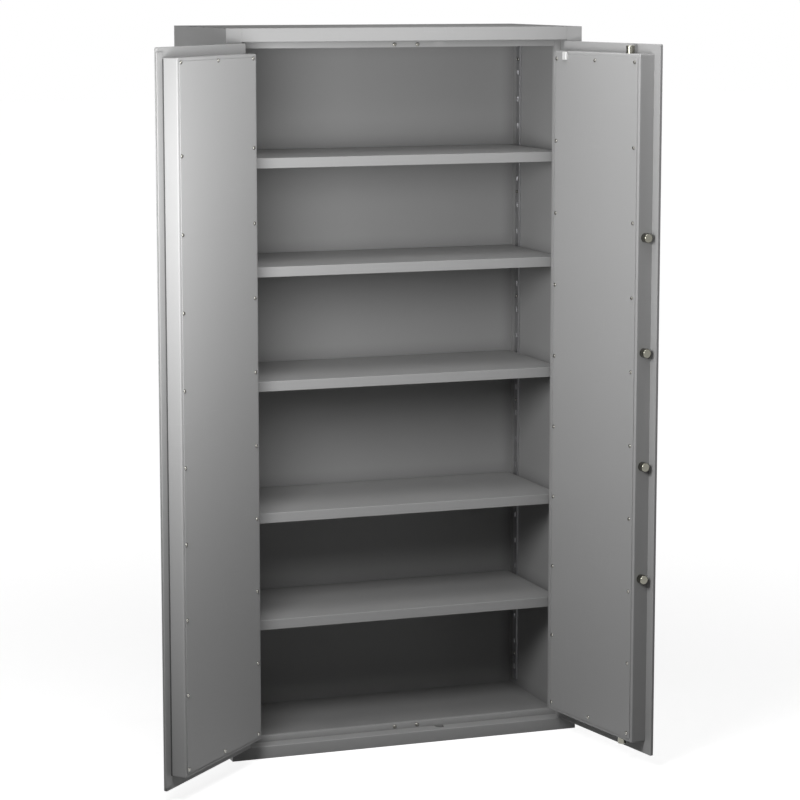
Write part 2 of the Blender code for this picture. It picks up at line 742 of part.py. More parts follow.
def build_handle(door, empty):
    def along(a, b, v):
        return (door.side * a, v - BOLT_V, b)

    shape = bmesh.new()
    near = ROD_V - ROD / 2
    add_prism(shape, pinion_outline(), along, near, ARM_V + ARM + ROD_DROP)
    gear = finish("spindle_pinion", shape, plain_steel(), empty)
    shaft = bmesh.new()
    add_prism(shaft, circle(SPINDLE_R, 24), along, -HUB_HIGH * 0.6, ARM_V + ARM + SPINDLE_END)
    combine(gear, guide("spindle", shaft, empty), "UNION")

    shape = bmesh.new()
    lift = 0.0005
    lines = ((HUB_R, -lift), (HUB_R, -0.006), (HUB_R * 0.78, -0.012), (HUB_R * 0.72, -HUB_HIGH + 0.010),
             (HUB_R * 0.72, -HUB_HIGH + 0.002), (HUB_R * 0.62, -HUB_HIGH))
    add_loft(shape, [[along(a, b, v) for a, b in circle(radius, 32)] for radius, v in lines])
    lever = finish("lever_handle", shape, lever_black(), empty, smooth=40)
    arm = bmesh.new()
    loops = []
    far = -HUB_HIGH + 0.0008
    for share, grow in ((0.0, 0.9), (0.5, 0.95), (0.9, 1.0), (0.97, 0.8), (1.0, 0.45)):
        scale = (1.0 - (1.0 - LEVER_TIP) * share) * grow
        wide = LEVER_WIDE * scale / 2
        thick = LEVER_THICK * (0.75 + 0.25 * grow) / 2
        section = rounded((-wide, -thick), (wide, thick), min(wide, thick) * 0.7, 3)
        middle = far + LEVER_THICK / 2 + 0.002 * share
        loops.append([along(-LEVER_LONG * share, a, middle + b) for a, b in section])
    add_loft(arm, loops)
    combine(lever, guide("lever_arm", arm, empty), "UNION")
    bore = bmesh.new()
    add_prism(bore, circle(SPINDLE_R + SEAT, 24), along, -HUB_HIGH * 0.6 - SEAT, 0.002)
    combine(lever, guide("lever_bore", bore, empty), "DIFFERENCE")


def build_bolt_bar(door):
    low = BOLT_LOW - BAR_END
    high = BOLT_LOW + (BOLT_COUNT - 1) * BOLT_PITCH + BAR_END
    start = BAR_U - BAR_THICK
    shape = bmesh.new()
    add_box(shape, door.at(start, BOLT_V - BOLT_R, low), door.at(BAR_U, ARM_V + ARM, high))
    bar = finish("bolt_bar", shape, plain_steel(), door.empty)
    rack = bmesh.new()
    reach = start + OVER - PINION_U
    outline = rack_outline(-RACK_BACK, reach, ARM_HIGH, reach)
    spots = [(PINION_U + a, PINION_Z - PITCH_R - b) for a, b in outline]
    add_prism(rack, spots, door.along_v, ARM_V, ARM_V + ARM)
    combine(bar, guide("bolt_bar_rack", rack, door.empty), "UNION")
    lug = bmesh.new()
    inset = ARM / 8
    high = (LUG_U + LUG, ARM_V + ARM - inset, ARM_LOW + OVER)
    add_box(lug, door.at(LUG_U, ARM_V + inset, LUG_LOW), door.at(*high))
    combine(bar, guide("bolt_bar_lug", lug, door.empty), "UNION")
    for index in range(BOLT_COUNT):
        z = BOLT_LOW + index * BOLT_PITCH
        shape = bmesh.new()
        end = RIGHT_PLUG_U + BOLT_SHOW
        cut = BOLT_CHAMFER
        tip = ((BOLT_R - 0.3 * cut, end - 0.3 * cut), (BOLT_R - cut, end))
        rings = []
        for radius, u in ((BOLT_R, BAR_U + SEAT), (BOLT_R, end - cut)) + tip:
            rings.append([door.at(u, BOLT_V + a, z + b) for a, b in circle(radius, 32)])
        add_loft(shape, rings)
        finish("side_bolt_%d" % (index + 1), shape, bright_steel(), door.empty, smooth=40)


def build_rod(door, name, way, plug):
    end = plug + way * BOLT_SHOW
    tail = plug - way * ROD_TAIL
    cut = BOLT_CHAMFER
    shape = bmesh.new()
    lines = ((BOLT_R - cut, tail), (BOLT_R, tail + way * cut), (BOLT_R, end - way * cut),
             (BOLT_R - 0.3 * cut, end - way * 0.3 * cut), (BOLT_R - cut, end))
    rings = []
    for radius, z in lines:
        rings.append([door.at(PINION_U + a, BOLT_V + b, z) for a, b in circle(radius, 32)])
    add_loft(shape, rings)
    rod = finish(name, shape, bright_steel(), door.empty, smooth=40)
    rack = bmesh.new()
    knee = tail + way * ROD_CRANK
    outline = rack_outline(-ROD_BACK, ROD_TEETH, ROD, abs(knee - PINION_Z) - ROD_CRANK / 4)
    spots = [(PINION_U + way * (PITCH_R + b), PINION_Z + way * a) for a, b in outline]

    def place(u, z, v):
        return door.at(u, v, z)

    add_prism(rack, spots, place, ROD_V, ROD_V + ROD)
    combine(rod, guide(name + "_rack", rack, door.empty), "UNION")
    crank = bmesh.new()
    inset = ROD / 8
    us = sorted((PINION_U, PINION_U + way * (PITCH_R + ROOT + ROD - inset)))
    zs = sorted((knee, knee - way * (ROD_CRANK - cut)))
    add_box(crank, door.at(us[0], ROD_V + inset, zs[0]), door.at(us[1], ROD_V + ROD - inset, zs[1]))
    combine(rod, guide(name + "_crank", crank, door.empty), "UNION")


def build_channel(door):
    side = PITCH_R + ROOT + ROD + ROD_PLAY
    far = ARM_V - 0.001
    near = CHANNEL_V
    base = near + CHANNEL_SHEET
    outer = side + CHANNEL_LUG
    section = [(-outer, near), (outer, near), (outer, far), (side, far), (side, base), (-side, base),
               (-side, far), (-outer, far)]
    shape = bmesh.new()
    spots = [(PINION_U + a, b) for a, b in section]
    add_prism(shape, spots, door.along_z, PINION_Z - CHANNEL_LONG / 2, PINION_Z + CHANNEL_LONG / 2)
    channel = finish("boltwork_channel", shape, plain_steel(), door.empty)
    cut = bmesh.new()
    ring = circle(SPINDLE_R + SEAT, 24)
    add_prism(cut, ring, moved(door.along_v, PINION_U, PINION_Z), near - OVER, base + OVER)
    combine(channel, guide("boltwork_bearing", cut, door.empty), "DIFFERENCE")


def build_lock(door):
    middle = KEY_U
    near = ARM_V - 0.0005
    far = COVER_V - SEAT
    ring = rounded((middle - LOCK_WIDE / 2, LOCK_TOP - LOCK_HIGH), (middle + LOCK_WIDE / 2, LOCK_TOP), 0.004)
    shape = bmesh.new()
    add_prism(shape, ring, door.along_v, near, far)
    case = finish("lock_case", shape, plain_steel(), door.empty)
    start = ARM_V + (ARM - LOCK_BOLT_THICK) / 2
    top = LUG_LOW - LUG_PLAY / 2
    low = (LOCK_U, start, top - LOCK_BOLT_LONG)
    high = (LOCK_U + LOCK_BOLT_WIDE, start + LOCK_BOLT_THICK, top)
    pocket = bmesh.new()
    play = LOCK_PLAY
    near = door.at(*(value - play for value in low))
    add_box(pocket, near, door.at(high[0] + play, high[1] + play, LOCK_TOP + OVER))
    combine(case, guide("lock_pocket", pocket, door.empty), "DIFFERENCE")
    shape = bmesh.new()
    add_box(shape, door.at(*low), door.at(*high))
    finish("lock_bolt", shape, bright_steel(), door.empty)

    shape = bmesh.new()
    place = moved(door.along_v, KEY_U, KEY_Z)
    lines = ((ROSE_R, -SEAT), (ROSE_R, -ROSE_THICK * 0.5), (ROSE_R - 0.002, -ROSE_THICK))
    add_loft(shape, [[place(a, b, v) for a, b in circle(radius, 32)] for radius, v in lines])
    rose = finish("keyhole_rose", shape, bright_steel(), door.empty, smooth=40)
    cut = bmesh.new()
    slot = math.asin(0.45)
    around = [(KEY_R * math.cos(a), KEY_R * math.sin(a))
              for a in (-math.pi / 2 + slot + (math.tau - 2 * slot) * i / 16 for i in range(17))]
    wide = KEY_R * math.sin(slot)
    outline = around + [(-wide, -KEY_SLOT), (wide, -KEY_SLOT)]
    add_prism(cut, outline, place, -ROSE_THICK - OVER, OVER)
    combine(rose, guide("keyhole", cut, door.empty), "DIFFERENCE")


def build_carcass():
    build_rims()
    build_outer_sheets()
    build_inner_frame()
    build_insulation()
    build_liner()
    for number, top in enumerate(SHELF_TOPS, 1):
        build_shelf(number, top)
    build_rails()


def build_doors():
    left_axis = pivot("left_hinge_axis", (-AXIS_X, AXIS_Y, 0.0), -LEFT_OPEN)
    right_axis = pivot("right_hinge_axis", (AXIS_X, AXIS_Y, 0.0), RIGHT_OPEN)
    for side, empty, name in ((-1, left_axis, "left"), (1, right_axis, "right")):
        build_hinge(side, empty, name + "_lower", HINGE_FOOT)
        build_hinge(side, empty, name + "_upper", HINGE_TOP)
    left = Door(1, left_axis)
    right = Door(-1, right_axis)
    build_left_door(left)
    build_right_door(right)
    handle_axis = pivot("handle_axis", right.at(PINION_U, BOLT_V, PINION_Z), 0.0, right_axis)
    build_handle(right, handle_axis)
    build_bolt_bar(right)
    build_rod(right, "top_bolt_rod", 1, PLUG_HIGH)
    build_rod(right, "bottom_bolt_rod", -1, PLUG_LOW)
    build_channel(right)
    build_lock(right)


clear_scene()
build_carcass()
build_doors()
bpy.context.view_layer.update()
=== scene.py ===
import math

import bmesh
import bpy
from mathutils import Matrix, Vector


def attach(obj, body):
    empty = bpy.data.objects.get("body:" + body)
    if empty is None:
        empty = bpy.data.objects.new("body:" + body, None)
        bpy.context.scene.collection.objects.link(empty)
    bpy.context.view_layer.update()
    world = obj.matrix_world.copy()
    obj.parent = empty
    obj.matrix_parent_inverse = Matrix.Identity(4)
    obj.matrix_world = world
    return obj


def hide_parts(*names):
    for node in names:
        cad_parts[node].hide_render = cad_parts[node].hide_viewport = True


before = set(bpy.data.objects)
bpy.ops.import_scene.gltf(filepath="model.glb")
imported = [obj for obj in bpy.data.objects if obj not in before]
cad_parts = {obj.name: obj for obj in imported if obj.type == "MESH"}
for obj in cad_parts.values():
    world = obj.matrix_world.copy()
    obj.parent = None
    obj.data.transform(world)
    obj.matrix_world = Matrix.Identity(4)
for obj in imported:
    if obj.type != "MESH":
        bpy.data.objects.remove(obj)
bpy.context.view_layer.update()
scene = bpy.context.scene
scene.view_settings.view_transform = "Standard"
print("frame loaded:", len(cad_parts), "nodes")


def node(tree, kind, sockets=None, **settings):
    made = tree.nodes.new("ShaderNode" + kind)
    for key, value in settings.items():
        setattr(made, key, value)
    for key, value in (sockets or {}).items():
        if isinstance(value, bpy.types.NodeSocket):
            tree.links.new(value, made.inputs[key])
        else:
            made.inputs[key].default_value = value
    return made


def math2(tree, operation, a, b, clamp=False):
    return node(tree, "Math", {0: a, 1: b}, operation=operation, use_clamp=clamp).outputs[0]


def scaled(tree, value, gain, base):
    return math2(tree, "ADD", math2(tree, "MULTIPLY", value, gain), base)


def weighed(tree, parts):  # sum of values, each with its weight
    total = None
    for value, weight in parts:
        term = math2(tree, "MULTIPLY", value, weight)
        total = term if total is None else math2(tree, "ADD", total, term)
    return total


def noise(tree, spot, scale, detail, **more):
    return node(tree, "TexNoise", {"Vector": spot, "Scale": scale, "Detail": detail, **more}).outputs[0]


def remap(tree, value, low, high):
    return node(tree, "MapRange", {"Value": value, "From Min": low, "From Max": high}).outputs[0]


def stretched(tree, spot, pull):
    return node(tree, "VectorMath", {0: spot, 1: pull}, operation="MULTIPLY").outputs["Vector"]


def tinted(tree, color, factor):
    return node(tree, "VectorMath", {0: color, "Scale": factor}, operation="SCALE").outputs["Vector"]


def objectSpot(tree):
    return node(tree, "TexCoord").outputs["Object"]


def newGroup(name, inputs, outputs):
    tree = bpy.data.node_groups.new(name, "ShaderNodeTree")
    for label, kind, value in inputs:
        socket = tree.interface.new_socket(name=label, in_out="INPUT", socket_type="NodeSocket" + kind)
        socket.default_value = value
    for label, kind in outputs:
        tree.interface.new_socket(name=label, in_out="OUTPUT", socket_type="NodeSocket" + kind)
    given = tree.nodes.new("NodeGroupInput")
    result = tree.nodes.new("NodeGroupOutput")
    return tree, given.outputs, result.inputs


coatLayers = {"broad": 2.3, "mottle": 55.0, "tone": (0.55, 0.25, 0.2), "height": (0.8, 0.2)}


def buildCoatGrain():  # orange peel and slow tone changes of a sprayed, baked coat
    tree, given, result = newGroup(
        "coatGrain",
        [("Color", "Color", (0.45, 0.45, 0.45, 1.0)), ("Shade", "Float", 0.06), ("Rough", "Float", 0.45),
         ("Spread", "Float", 0.1), ("Grain", "Float", 650.0)],
        [("Color", "Color"), ("Roughness", "Float"), ("Height", "Float")])
    spot = objectSpot(tree)
    broad = noise(tree, spot, coatLayers["broad"], 3.0)
    mottle = noise(tree, spot, coatLayers["mottle"], 3.0)
    peel = noise(tree, spot, given["Grain"], 2.0)
    tone = weighed(tree, zip((broad, mottle, peel), coatLayers["tone"]))
    tone = math2(tree, "SUBTRACT", tone, 0.5)
    color = tinted(tree, given["Color"], scaled(tree, tone, given["Shade"], 1.0))
    tree.links.new(color, result["Color"])
    rough = scaled(tree, math2(tree, "SUBTRACT", mottle, 0.5), given["Spread"], given["Rough"])
    tree.links.new(rough, result["Roughness"])
    height = weighed(tree, zip((peel, mottle), coatLayers["height"]))
    tree.links.new(height, result["Height"])
    return tree


rubAndSheenLine = {"bend": (0.995, 0.86), "breaks": 90.0, "shown": (0.42, 0.62)}


def buildEdgeRubAndSheen():  # thin lighter line along folds and corners: rubbed coat, and partly a painted highlight on the bends
    tree, given, result = newGroup(
        "edgeRubAndSheen",
        [("Radius", "Float", 0.002), ("Amount", "Float", 0.5)],
        [("Mask", "Float"), ("Normal", "Vector")])
    eased = node(tree, "Bevel", {"Radius": given["Radius"]}, samples=6).outputs[0]
    flat = node(tree, "NewGeometry").outputs["Normal"]
    along = node(tree, "VectorMath", {0: eased, 1: flat}, operation="DOT_PRODUCT").outputs["Value"]
    bent = remap(tree, along, *rubAndSheenLine["bend"])
    broken = noise(tree, objectSpot(tree), rubAndSheenLine["breaks"], 4.0, Roughness=0.7)
    broken = remap(tree, broken, *rubAndSheenLine["shown"])
    mask = math2(tree, "MULTIPLY", math2(tree, "MULTIPLY", bent, broken), given["Amount"], True)
    tree.links.new(mask, result["Mask"])
    tree.links.new(eased, result["Normal"])
    return tree


dustPatch = {"upward": (0.55, 0.98), "patches": 9.0, "shown": (0.35, 0.75)}


def buildDustFall():  # pale dust on faces that look up
    tree, given, result = newGroup("dustFall", [("Amount", "Float", 0.2)], [("Mask", "Float")])
    up = node(tree, "SeparateXYZ", {0: node(tree, "NewGeometry").outputs["Normal"]}).outputs["Z"]
    level = remap(tree, up, *dustPatch["upward"])
    patch = noise(tree, objectSpot(tree), dustPatch["patches"], 6.0, Roughness=0.65)
    patch = remap(tree, patch, *dustPatch["shown"])
    mask = math2(tree, "MULTIPLY", math2(tree, "MULTIPLY", level, patch), given["Amount"], True)
    tree.links.new(mask, result["Mask"])
    return tree


cornerShadeDepth = {"open": 1.0, "tight": 0.5}


def buildPaintedCornerShade():  # painted shade: darkens the coat along inner corners and between parts, where shade falls
    tree, given, result = newGroup(
        "paintedCornerShade", [("Reach", "Float", 0.04), ("Amount", "Float", 0.2)], [("Mask", "Float")])
    openness = node(tree, "AmbientOcclusion", {"Distance": given["Reach"]}, samples=8).outputs["AO"]
    depth = remap(tree, openness, cornerShadeDepth["open"], cornerShadeDepth["tight"])
    tree.links.new(math2(tree, "MULTIPLY", depth, given["Amount"], True), result["Mask"])
    return tree


scuffMarks = {"pulls": ((9.0, 9.0, 520.0), (430.0, 430.0, 14.0)), "thin": (0.66, 0.74),
              "patches": 3.7, "shown": (0.48, 0.66)}


def buildScuffs():  # short hairline marks in a few handled spots
    tree, given, result = newGroup("hairScuffs", [("Amount", "Float", 0.2)], [("Mask", "Float")])
    spot = objectSpot(tree)
    marks = None
    for pull in scuffMarks["pulls"]:
        line = remap(tree, noise(tree, stretched(tree, spot, pull), 1.0, 1.0), *scuffMarks["thin"])
        marks = line if marks is None else math2(tree, "MAXIMUM", marks, line)
    patch = remap(tree, noise(tree, spot, scuffMarks["patches"], 2.0), *scuffMarks["shown"])
    mask = math2(tree, "MULTIPLY", math2(tree, "MULTIPLY", marks, patch), given["Amount"], True)
    tree.links.new(mask, result["Mask"])
    return tree


toolMarks = {"stain": 130.0, "tone": (0.7, 0.3)}


def buildLathe():  # fine tool lines of turned, ground or brushed metal
    tree, given, result = newGroup(
        "toolLines",
        [("Color", "Color", (0.6, 0.6, 0.6, 1.0)), ("Stretch", "Vector", (1.0, 1.0, 1.0)),
         ("Shade", "Float", 0.2), ("Rough", "Float", 0.3), ("Spread", "Float", 0.15)],
        [("Color", "Color"), ("Roughness", "Float"), ("Height", "Float")])
    spot = objectSpot(tree)
    lines = noise(tree, stretched(tree, spot, given["Stretch"]), 1.0, 4.0, Roughness=0.65)
    stain = noise(tree, spot, toolMarks["stain"], 3.0)
    tone = math2(tree, "SUBTRACT", weighed(tree, zip((lines, stain), toolMarks["tone"])), 0.5)
    color = tinted(tree, given["Color"], scaled(tree, tone, given["Shade"], 1.0))
    tree.links.new(color, result["Color"])
    tree.links.new(scaled(tree, tone, given["Spread"], given["Rough"]), result["Roughness"])
    tree.links.new(lines, result["Height"])
    return tree


coatGrain = buildCoatGrain()
edgeRubAndSheen = buildEdgeRubAndSheen()
dustFall = buildDustFall()
paintedCornerShade = buildPaintedCornerShade()
hairScuffs = buildScuffs()
toolLines = buildLathe()
print("shared surface effects built")


def startMaterial(name):
    made = bpy.data.materials.new(name)
    made.use_nodes = True
    tree = made.node_tree
    tree.nodes.clear()
    out = tree.nodes.new("ShaderNodeOutputMaterial")
    shader = tree.nodes.new("ShaderNodeBsdfPrincipled")
    tree.links.new(shader.outputs[0], out.inputs[0])
    return made, tree, shader


def addGroup(tree, group, values):
    made = tree.nodes.new("ShaderNodeGroup")
    made.node_tree = group
    for key, value in values.items():
        made.inputs[key].default_value = value
    return made.outputs


def blendColor(tree, factor, low, high):  # 0, 6, 7 and 2 are the colour sockets of a Mix node
    return node(tree, "Mix", {0: factor, 6: low, 7: high}, data_type="RGBA").outputs[2]


def addRelief(tree, shader, strength, deep, height, normal):
    bump = node(tree, "Bump", {"Strength": strength, "Distance": deep, "Height": height, "Normal": normal})
    tree.links.new(bump.outputs[0], shader.inputs["Normal"])


# dust is a pale real layer; the near-black tint is painted shade for inner corners
dustAndShadeTints = {"dust": (0.56, 0.55, 0.53, 1.0), "paintedShade": (0.02, 0.02, 0.02, 1.0)}
reliefDeep = {"coat": 0.0004, "metal": 0.0002}


def coatMaterial(name, look):
    made, tree, shader = startMaterial(name)
    coat = addGroup(tree, coatGrain, {"Color": (*look["color"], 1.0), "Shade": look["shade"],
                                      "Rough": look["rough"], "Spread": look["spread"],
                                      "Grain": look["grain"]})
    # the edge layer lightens folds and corners: partly rubbed coat, partly painted highlight
    rubAndSheen = addGroup(tree, edgeRubAndSheen, {"Radius": look["edge"], "Amount": look["rubAndSheen"]})
    dust = addGroup(tree, dustFall, {"Amount": look["dust"]})
    scuff = addGroup(tree, hairScuffs, {"Amount": look["scuff"]})
    # painted shade: this layer darkens inner corners and seams towards near black
    paintedShade = addGroup(tree, paintedCornerShade, {"Amount": look["paintedShade"], "Reach": look["reach"]})
    bareAndSheen = (*look["bareAndSheen"], 1.0)
    color = coat["Color"]
    for layer, tint in ((rubAndSheen, bareAndSheen), (dust, dustAndShadeTints["dust"]), (scuff, bareAndSheen), (paintedShade, dustAndShadeTints["paintedShade"])):
        color = blendColor(tree, layer["Mask"], color, tint)
    tree.links.new(color, shader.inputs["Base Color"])
    tree.links.new(coat["Roughness"], shader.inputs["Roughness"])
    addRelief(tree, shader, look["bump"], reliefDeep["coat"], coat["Height"], rubAndSheen["Normal"])
    shader.inputs["Specular IOR Level"].default_value = look["gloss"]
    return made


def metalMaterial(name, look):
    made, tree, shader = startMaterial(name)
    lines = addGroup(tree, toolLines, {"Color": (*look["color"], 1.0), "Stretch": look["stretch"],
                                       "Shade": look["shade"], "Rough": look["rough"],
                                       "Spread": look["spread"]})
    tree.links.new(lines["Color"], shader.inputs["Base Color"])
    tree.links.new(lines["Roughness"], shader.inputs["Roughness"])
    soft = addGroup(tree, edgeRubAndSheen, {"Radius": look["edge"]})
    addRelief(tree, shader, look["bump"], reliefDeep["metal"], lines["Height"], soft["Normal"])
    shader.inputs["Metallic"].default_value = 1.0
    return made


# in each coat, the corner entries (amount and reach) set how much painted shade gathers in inner corners
carcassCoat = {"color": (0.44, 0.44, 0.44), "shade": 0.08, "rough": 0.50, "spread": 0.10, "grain": 620.0,
               "edge": 0.0014, "rubAndSheen": 0.15, "scuff": 0.35, "bareAndSheen": (0.56, 0.56, 0.56), "dust": 0.10,
               "paintedShade": 0.22, "reach": 0.04, "bump": 0.10, "gloss": 0.3}
topCoat = dict(carcassCoat, rough=0.86, dust=0.22, gloss=0.0)  # dull under settled dust
doorCoat = dict(carcassCoat, color=(0.46, 0.46, 0.46), dust=0.05, paintedShade=0.13)
# the meeting strip takes stronger painted corner shade, which darkens the margin beside the plug's root
stripCoat = dict(doorCoat, color=(0.44, 0.44, 0.44), paintedShade=0.30)
shelfCoat = dict(carcassCoat, color=(0.40, 0.40, 0.40), dust=0.12, rough=0.54, scuff=0.12)
# the liner is a darker copy of the shelf coat: painted shade for the cabinet's inside
shadedLinerCoat = dict(shelfCoat, color=(0.34, 0.34, 0.34), scuff=0.0)
# the frame coat is lighter, and its strong painted corner shade darkens it where the rim in front shades it
frameCoat = dict(carcassCoat, color=(0.48, 0.48, 0.48), dust=0.05, paintedShade=0.32, reach=0.02)
leverCoat = {"color": (0.028, 0.028, 0.03), "shade": 0.35, "rough": 0.38, "spread": 0.16, "grain": 900.0,
             "edge": 0.0012, "rubAndSheen": 0.30, "scuff": 0.5, "bareAndSheen": (0.16, 0.16, 0.16), "dust": 0.08,
             "paintedShade": 0.1, "reach": 0.01, "bump": 0.16, "gloss": 0.5}
sealLook = {"color": (0.33, 0.33, 0.325), "shade": 0.5, "rough": 0.85, "spread": 0.1, "grain": 420.0,
            "edge": 0.0008, "rubAndSheen": 0.0, "scuff": 0.0, "bareAndSheen": (0.2, 0.2, 0.2), "dust": 0.10,
            "paintedShade": 0.1, "reach": 0.01, "bump": 0.5, "gloss": 0.25}
# near-black rubber for the left plug's root bead, partly painted shade
sealAndShadeLook = dict(sealLook, color=(0.09, 0.09, 0.09), dust=0.04)
boardLook = {"color": (0.70, 0.68, 0.64), "shade": 0.25, "rough": 0.9, "spread": 0.08, "grain": 300.0,
             "edge": 0.002, "rubAndSheen": 0.0, "scuff": 0.0, "bareAndSheen": (0.7, 0.7, 0.7), "dust": 0.0,
             "paintedShade": 0.0, "reach": 0.01, "bump": 0.5, "gloss": 0.2}
nylonLook = {"color": (0.86, 0.86, 0.85), "shade": 0.05, "rough": 0.42, "spread": 0.1, "grain": 800.0,
             "edge": 0.0012, "rubAndSheen": 0.2, "scuff": 0.1, "bareAndSheen": (0.9, 0.9, 0.9), "dust": 0.05,
             "paintedShade": 0.1, "reach": 0.01, "bump": 0.08, "gloss": 0.5}
boltLook = {"color": (0.23, 0.225, 0.19), "stretch": (300.0, 2600.0, 300.0), "shade": 0.30, "rough": 0.17,
            "spread": 0.10, "bump": 0.05, "edge": 0.0004}
rodLook = dict(boltLook, color=(0.25, 0.245, 0.21), stretch=(40.0, 40.0, 1800.0), edge=0.0018)
roseLook = {"color": (0.50, 0.49, 0.45), "stretch": (900.0, 900.0, 60.0), "shade": 0.30, "rough": 0.28,
            "spread": 0.2, "bump": 0.08, "edge": 0.0008}
zincLook = {"color": (0.31, 0.305, 0.28), "stretch": (260.0, 260.0, 260.0), "shade": 0.3, "rough": 0.20,
            "spread": 0.14, "bump": 0.06, "edge": 0.0006}
hingeLook = dict(zincLook, color=(0.30, 0.30, 0.295), stretch=(700.0, 700.0, 40.0), rough=0.38)
railLook = {"color": (0.46, 0.46, 0.47), "stretch": (420.0, 420.0, 18.0), "shade": 0.28, "rough": 0.42,
            "spread": 0.2, "bump": 0.08, "edge": 0.0006}
gearLook = {"color": (0.40, 0.39, 0.38), "stretch": (500.0, 1500.0, 500.0), "shade": 0.4, "rough": 0.4,
            "spread": 0.25, "bump": 0.15, "edge": 0.0008}

carcassPaint = coatMaterial("carcassPaint", carcassCoat)
topPaint = coatMaterial("topPaint", topCoat)
doorPaint = coatMaterial("doorPaint", doorCoat)
stripPaint = coatMaterial("stripPaint", stripCoat)
shelfPaint = coatMaterial("shelfPaint", shelfCoat)
shadedLinerPaint = coatMaterial("shadedLinerPaint", shadedLinerCoat)
framePaint = coatMaterial("framePaint", frameCoat)
leverPaint = coatMaterial("leverPaint", leverCoat)
sealStrip = coatMaterial("sealStrip", sealLook)
sealAndShadeRubber = coatMaterial("sealAndShadeRubber", sealAndShadeLook)
plasterBoard = coatMaterial("plasterBoard", boardLook)
whiteNylon = coatMaterial("whiteNylon", nylonLook)
turnedBolt = metalMaterial("turnedBolt", boltLook)
turnedRod = metalMaterial("turnedRod", rodLook)
roseMetal = metalMaterial("roseMetal", roseLook)
zincPlate = metalMaterial("zincPlate", zincLook)
hingeSteel = metalMaterial("hingeSteel", hingeLook)
railSteel = metalMaterial("railSteel", railLook)
gearSteel = metalMaterial("gearSteel", gearLook)

finishes = {
    carcassPaint: ("rim_left", "rim_right", "rim_top", "rim_bottom", "left_side_panel", "right_side_panel",
                   "base_panel", "back_panel"),
    topPaint: ("top_panel",),
    doorPaint: ("left_door_skin", "left_door_casing", "left_door_cover", "right_door_skin",
                "right_door_casing", "right_door_cover"),
    stripPaint: ("meeting_strip",),
    shadedLinerPaint: ("inner_liner",),
    shelfPaint: ("shelf_1", "shelf_2", "shelf_3", "shelf_4", "shelf_5"),
    framePaint: ("inner_frame_left", "inner_frame_right", "inner_frame_top", "inner_frame_bottom"),
    sealStrip: ("heat_seal",),
    plasterBoard: ("left_insulation", "right_insulation", "top_insulation", "base_insulation",
                   "back_insulation", "left_door_insulation", "right_door_insulation"),
    whiteNylon: ("buffer_block",),
    leverPaint: ("lever_handle",),
    turnedBolt: ("side_bolt_1", "side_bolt_2", "side_bolt_3", "side_bolt_4"),
    turnedRod: ("top_bolt_rod", "bottom_bolt_rod", "lock_bolt"),
    roseMetal: ("keyhole_rose",),
    hingeSteel: ("hinge_frame_left_lower", "hinge_frame_left_upper", "hinge_frame_right_lower",
                 "hinge_frame_right_upper", "hinge_door_left_lower", "hinge_door_left_upper",
                 "hinge_door_right_lower", "hinge_door_right_upper"),
    railSteel: ("shelf_rail_left_front", "shelf_rail_left_rear", "shelf_rail_right_front",
                "shelf_rail_right_rear"),
    gearSteel: ("spindle_pinion", "bolt_bar", "boltwork_channel", "lock_case"),
}
for finish, names in finishes.items():
    for name in names:
        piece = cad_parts[name]
        piece.data.materials.clear()
        piece.data.materials.append(finish)
print("finishes on", sum(len(names) for names in finishes.values()), "pieces")

# the hinge pins, and how far each door's corner stands from its pin
cabinet = {"openX": 0.457, "axisY": -0.2515, "pinAside": 0.001, "pinAhead": 0.0015, "front": -0.25,
           "leftOpen": 135.3, "rightOpen": 99.4}


def doorPose(way, degrees):
    pin = (way * (cabinet["openX"] - cabinet["pinAside"]), cabinet["axisY"], 0.0)
    return Matrix.Translation(pin) @ Matrix.Rotation(math.radians(way * degrees), 4, "Z")


doorPoses = {1: doorPose(-1, cabinet["leftOpen"]), -1: doorPose(1, cabinet["rightOpen"])}


def onDoor(side, u, v, z):  # side 1 left, -1 right; u from the hinge edge, v inward from the outer face
    return doorPoses[side] @ Vector((side * (u + cabinet["pinAside"]), v + cabinet["pinAhead"], z))


def doorInward(side):
    return doorPoses[side].to_3x3() @ Vector((0.0, 1.0, 0.0))


panHead = {"radius": 0.0050, "high": 0.0030, "cross": 0.0022, "arm": 0.0005, "deep": 0.0013, "sides": 16,
           "rise": ((1.0, 0.0), (1.0, 0.28), (0.93, 0.62), (0.76, 0.88), (0.58, 1.0)),
           "floorReach": 0.45, "floorWide": 0.8}


